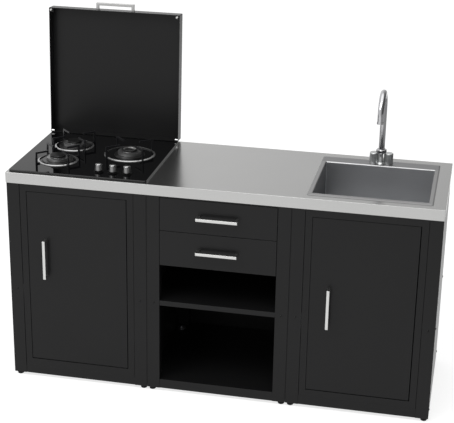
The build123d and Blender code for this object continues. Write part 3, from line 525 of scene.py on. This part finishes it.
edge_radii = {
    "left_door": FRONT_EDGE, "right_door": FRONT_EDGE,
    "upper_drawer_front": FRONT_EDGE, "lower_drawer_front": FRONT_EDGE,
    "left_face_frame": SHEET_EDGE, "right_face_frame": SHEET_EDGE, "corner_posts": SHEET_EDGE,
    "side_panels": PANEL_EDGE, "base_trays": SHEET_EDGE, "centre_shelf": SHEET_EDGE,
    "left_door_handle": BAR_EDGE, "right_door_handle": BAR_EDGE,
    "upper_drawer_handle": BAR_EDGE, "lower_drawer_handle": BAR_EDGE, "lid_handle": BAR_EDGE,
    "front_pan_support": FINGER_EDGE, "rear_pan_support": FINGER_EDGE, "wok_pan_support": FINGER_EDGE,
}
for name, width in edge_radii.items():
    rounded(name, width)


# Repeated small pieces, grown by node trees
def loose_parts(name):
    """Lowest and highest corner of each separate solid in a node."""
    shell = merged(name)
    waiting = set(shell.verts)
    parts = []
    while waiting:
        reached = [waiting.pop()]
        points = []
        while reached:
            vertex = reached.pop()
            points.append(vertex.co.copy())
            for link in vertex.link_edges:
                other = link.other_vert(vertex)
                if other in waiting:
                    waiting.discard(other)
                    reached.append(other)
        low = Vector([min(p[k] for p in points) for k in range(3)])
        high = Vector([max(p[k] for p in points) for k in range(3)])
        parts.append((low, high))
    shell.free()
    return sorted(parts, key=lambda part: tuple(round(v, 4) for v in part[0]))


def pattern(name, sizes, build):
    """Node tree with named size inputs; build(wire, points, size) returns its last geometry."""
    tree = bpy.data.node_groups.new(name, "GeometryNodeTree")
    face = tree.interface
    face.new_socket("Points", in_out="INPUT", socket_type="NodeSocketGeometry")
    for key in sizes:
        face.new_socket(key, in_out="INPUT", socket_type="NodeSocketFloat")
    face.new_socket("Finish", in_out="INPUT", socket_type="NodeSocketMaterial")
    face.new_socket("Geometry", in_out="OUTPUT", socket_type="NodeSocketGeometry")
    start = tree.nodes.new("NodeGroupInput")
    given = {socket.name: Wire(tree, socket) for socket in start.outputs}
    w = Wire(tree)
    copies = build(w, given["Points"], given)
    solid = w.node("GeometryNodeRealizeInstances", Geometry=copies)
    painted = w.node("GeometryNodeSetMaterial", Geometry=solid, Material=given["Finish"])
    w.node("NodeGroupOutput", _0=painted)
    return tree


def grown(name, places, tree, sizes, material):
    """Plain mesh that a tree makes from places, each a point and the way it faces."""
    mesh = bpy.data.meshes.new(name)
    mesh.from_pydata([tuple(point) for point, way in places], [], [])
    facing = mesh.attributes.new("facing", "FLOAT_VECTOR", "POINT")
    facing.data.foreach_set("vector", [v for point, way in places for v in way])
    seed = in_scene(f"{name}_seed", mesh)
    grow = seed.modifiers.new("pattern", "NODES")
    grow.node_group = tree
    for item in tree.interface.items_tree:
        if item.in_out == "INPUT" and item.name in sizes:
            grow[item.identifier] = sizes[item.name]
        elif item.name == "Finish":
            grow[item.identifier] = material
    return in_scene(name, worked_out(seed))


def placed(w, points, shape):
    """The shape at every point, its Z turned to the way the point faces."""
    facing = w.node("GeometryNodeInputNamedAttribute", {"data_type": "FLOAT_VECTOR"}, Name="facing")
    turn = w.node("FunctionNodeAlignRotationToVector", {"axis": "Z"}, Vector=facing)
    return w.node("GeometryNodeInstanceOnPoints", Points=points, Instance=shape, Rotation=turn)


def lifted(w, shape, z):
    offset = w.node("ShaderNodeCombineXYZ", Z=z)
    return w.node("GeometryNodeTransform", Geometry=shape, Translation=offset)


def cylinder(w, radius, depth, sides):
    return w.node("GeometryNodeMeshCylinder", Vertices=sides, Radius=radius, Depth=depth)


def linked(w, node, socket, shapes):
    """The node, with several shapes on one of its sockets."""
    for shape in shapes:
        w.tree.links.new(shape.socket, node.socket.node.inputs[socket])
    return node


def united(w, *shapes):
    return linked(w, w.node("GeometryNodeMeshBoolean", {"operation": "UNION"}), 1, shapes)


def cut(w, shape, hole):
    return w.node("GeometryNodeMeshBoolean", {"operation": "DIFFERENCE"}, _0=shape, _1=hole)


def socket_screw(w, points, size):
    """Button heads with a six-sided socket."""
    radius, thick = size["Radius"], size["Height"]
    rim = cylinder(w, radius, thick * 0.5, sides=20)
    dome = w.node("GeometryNodeMeshCone", Vertices=20, Radius__Top=radius * 0.66, Radius__Bottom=radius,
                  Depth=thick * 0.5)
    head = united(w, lifted(w, rim, thick * 0.25), lifted(w, dome, thick * 0.5))
    key = cylinder(w, radius * 0.42, thick, sides=6)
    return placed(w, points, cut(w, head, lifted(w, key, thick * 0.95)))


def perforated_disc(w, points, size):
    """Thin disc with rings of small holes, as in a spout's outlet."""
    radius, thick = size["Radius"], size["Height"]
    disc = cylinder(w, radius, thick, sides=40)
    hole = cylinder(w, size["Hole"], thick * 3.0, sides=8)
    circles = [w.node("GeometryNodeMeshCircle", Vertices=count, Radius=radius * share)
               for count, share in ((6, 0.32), (12, 0.64))]
    rings = linked(w, w.node("GeometryNodeJoinGeometry"), 0, circles)
    holes = w.node("GeometryNodeInstanceOnPoints", Points=rings, Instance=hole)
    holes = w.node("GeometryNodeRealizeInstances", Geometry=holes)
    return placed(w, points, cut(w, disc, holes))


def stud_nut(w, points, size):
    """Round washer with a six-sided nut on it."""
    radius, thick = size["Radius"], size["Height"]
    washer = cylinder(w, radius, thick, sides=40)
    nut = cylinder(w, radius * 0.45, thick * 2.2, sides=6)
    return placed(w, points, united(w, lifted(w, washer, thick * 0.5), lifted(w, nut, thick * 2.0)))


SCREW = {"Radius": 0.0045, "Height": 0.0025}
screw_tree = pattern("socket_screws", SCREW, socket_screw)
FRONT, BACK, UP, DOWN = Vector((0, -1, 0)), Vector((0, 1, 0)), Vector((0, 0, 1)), Vector((0, 0, -1))


def post_and_side_screws():
    """The screws on the front posts and the outer sides, where the plain ones stand."""
    places = []
    for low, high in loose_parts("screws"):
        size = high - low
        middle = (low + high) / 2
        way = FRONT if size.y < size.x else Vector((1 if middle.x > 0 else -1, 0, 0))
        thick = min(size.x, size.y)
        places.append((middle - way * (thick / 2), way))
    piece = grown("socket_screws", places, screw_tree, SCREW, finishes["black_screw"])
    carry(piece, "cabinet", "screws")


def back_screws():
    """A row of screws round the edge of each back panel."""
    inset = 0.011
    steps = 4
    places = []
    for low, high in loose_parts("back_panels"):
        across = [low.x + inset, (low.x + high.x) / 2, high.x - inset]
        rise = (high.z - low.z - 2 * inset) / steps
        levels = [low.z + inset + k * rise for k in range(steps + 1)]
        edge = [(x, z) for x in across for z in (levels[0], levels[-1])]
        edge += [(x, z) for x in (across[0], across[-1]) for z in levels[1:-1]]
        places += [(Vector((x, high.y, z)), BACK) for x, z in edge]
    piece = grown("back_panel_screws", places, screw_tree, SCREW, finishes["black_screw"])
    carry(piece, "cabinet")


def spout_strainer():
    """Perforated disc just inside the spout's outlet, which is the spout's lowest point near its front."""
    outlet_radius, bore, inset = 0.0148, 0.013, 0.002
    sizes = {"Radius": 0.0115, "Height": 0.0012, "Hole": 0.0008}
    tree = pattern("strainer", sizes, perforated_disc)
    axis_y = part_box("tap_spout")[0].y + outlet_radius
    tip = min(v.co.z for v in nodes["tap_spout"].data.vertices if abs(v.co.y - axis_y) < bore)
    outlet = Vector((centre("tap_spout").x, axis_y, tip + inset))
    piece = grown("spout_strainer", [(outlet, DOWN)], tree, sizes, finishes["chrome"])
    carry(piece, "spout")


def tray_bolts():
    """Nuts that hold the base trays, one on the tray by each post."""
    from_post = 0.03
    sizes = {"Radius": 0.019, "Height": 0.004}
    tree = pattern("stud_nuts", sizes, stud_nut)
    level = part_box("base_trays")[1].z
    places = []
    for low, high in loose_parts("corner_posts"):
        depth = low.y - from_post if low.y > 0 else high.y + from_post
        places.append((Vector(((low.x + high.x) / 2, depth, level)), UP))
    piece = grown("tray_bolts", places, tree, sizes, finishes["zinc"])
    carry(piece, "cabinet")


def knob_pointers():
    """Dark line let into the groove on each gas knob."""
    size = Vector((0.0016, 0.0085, 0.0006))
    from_middle, below_top = 0.0052, 0.0007
    for name in knob_names:
        middle = centre(f"{name}_knob")
        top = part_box(f"{name}_knob")[1].z
        place = Vector((middle.x, middle.y + from_middle, top - below_top))
        line = bmesh.new()
        bmesh.ops.create_cube(line, size=1.0)
        for vertex in line.verts:
            vertex.co = Vector([c * s for c, s in zip(vertex.co, size)]) + place
        mesh = bpy.data.meshes.new(f"{name}_pointer")
        line.to_mesh(mesh)
        line.free()
        mesh.materials.append(pointer_paint)
        piece = in_scene(f"{name}_knob_pointer", softened(mesh, POINTER_EDGE))
        carry(piece, f"{name}_knob")


post_and_side_screws()
back_screws()
spout_strainer()
tray_bolts()
knob_pointers()

# Stage: pale floor, white surroundings, soft light
WHITE = (1, 1, 1, 1)
SKY_LIGHT = 0.7
SKY_AHEAD, SKY_FALL, SKY_LEAST, SKY_MOST = 0.8, 1.05, 0.12, 1.05
OVERHEAD_FROM, OVERHEAD_TO, OVERHEAD_MORE = 0.7, 0.95, 1.2
FLOOR_REACH = 12.0
FLOOR_LIGHT, FLOOR_SHOWN = (0.85, 0.85, 0.85, 1), (0.45, 0.45, 0.45, 1)
FLOOR_GLOW = 0.74
FLOOR_DIM_FROM, FLOOR_DIM_TO, FLOOR_DIM_BY = 1.2, 2.3, 0.88


def ray_kinds(w):
    """1 for rays from the camera, and 1 for rays that mirror or pass through."""
    seen, glossy, through = (w.node("ShaderNodeLightPath", out=f"Is {kind} Ray")
                             for kind in ("Camera", "Glossy", "Transmission"))
    return seen, w.math("MINIMUM", glossy + through, 1.0)


def surroundings():
    """White to the camera; mirrored, it dims towards the right and brightens overhead."""
    world = bpy.data.worlds.new("studio")
    bpy.context.scene.world = world
    world.use_nodes = True
    world.node_tree.nodes.clear()
    w = Wire(world.node_tree)
    seen, mirrored = ray_kinds(w)
    way = w.node("ShaderNodeTexCoord", out="Generated")
    sideways = w.math("MINIMUM", SKY_AHEAD - SKY_FALL * w.axis(way, "X"), SKY_MOST)
    overhead = w.axis(way, "Z").between(OVERHEAD_FROM, OVERHEAD_TO)
    fall = w.math("MAXIMUM", sideways, SKY_LEAST) + overhead * OVERHEAD_MORE
    light = w.node("ShaderNodeBackground", Color=WHITE, Strength=SKY_LIGHT)
    reflected = w.node("ShaderNodeBackground", Color=WHITE, Strength=fall)
    white = w.node("ShaderNodeBackground", Color=WHITE, Strength=1.0)
    others = w.node("ShaderNodeMixShader", _0=mirrored, _1=light, _2=reflected)
    both = w.node("ShaderNodeMixShader", _0=seen, _1=others, _2=white)
    w.node("ShaderNodeOutputWorld", Surface=both)


def floor():
    """Pale to the camera and in mirrors, where it dims far to the right; plain diffuse to other light."""
    mesh = bpy.data.meshes.new("floor")
    corners = [(x * FLOOR_REACH, y * FLOOR_REACH, 0) for x, y in ((-1, -1), (1, -1), (1, 1), (-1, 1))]
    mesh.from_pydata(corners, [], [(0, 1, 2, 3)])
    material = bpy.data.materials.new("pale_floor")
    material.use_nodes = True
    material.node_tree.nodes.clear()
    w = Wire(material.node_tree)
    seen, mirrored = ray_kinds(w)
    plain = w.node("ShaderNodeBsdfDiffuse", Color=FLOOR_LIGHT)
    pale = w.node("ShaderNodeBsdfDiffuse", Color=FLOOR_SHOWN)
    dimmed = w.axis(w.coordinates(), "X").between(FLOOR_DIM_FROM, FLOOR_DIM_TO)
    share = w.math("MAXIMUM", seen, 1.0 - dimmed * FLOOR_DIM_BY)
    glow = w.node("ShaderNodeEmission", Color=share.tint((0, 0, 0), (1, 1, 1)), Strength=FLOOR_GLOW)
    lit = w.node("ShaderNodeAddShader", _0=pale, _1=glow)
    shown = w.math("MINIMUM", seen + mirrored, 1.0)
    both = w.node("ShaderNodeMixShader", _0=shown, _1=plain, _2=lit)
    w.node("ShaderNodeOutputMaterial", Surface=both)
    mesh.materials.append(material)
    in_scene("floor", mesh)


def soft_lamp(name, place, target, size, power):
    lamp = bpy.data.lights.new(name, "AREA")
    lamp.size = size
    lamp.energy = power
    holder = bpy.data.objects.new(name, lamp)
    holder.location = place
    holder.rotation_euler = (Vector(target) - Vector(place)).to_track_quat("-Z", "Y").to_euler()
    bpy.context.scene.collection.objects.link(holder)


def camera():
    """The photograph's camera, from its turn about the upright, its dip and its roll."""
    ahead = Vector((-sin(YAW) * cos(PITCH), cos(YAW) * cos(PITCH), -sin(PITCH)))
    level = Vector((cos(YAW), sin(YAW), 0.0))
    over = level.cross(ahead)
    across = level * cos(ROLL) + over * sin(ROLL)
    up = over * cos(ROLL) - level * sin(ROLL)
    data = bpy.data.cameras.new("view")
    data.sensor_fit = "HORIZONTAL"
    data.sensor_width = SENSOR
    data.lens = FOCAL_PIXELS * SENSOR / IMAGE_WIDTH
    eye = bpy.data.objects.new("view", data)
    turn = Matrix((across, up, -ahead)).transposed().to_4x4()
    eye.matrix_world = Matrix.Translation(EYE) @ turn
    bpy.context.scene.collection.objects.link(eye)
    bpy.context.scene.camera = eye


bpy.context.scene.view_settings.view_transform = "Standard"
surroundings()
floor()
soft_lamp("over_left", place=(-2.2, -2.6, 3.6), target=(0, 0, 0.7), size=2.4, power=70)
soft_lamp("over_front", place=(0.2, -1.6, 3.4), target=(0.2, 0, 0.8), size=1.6, power=30)
camera()
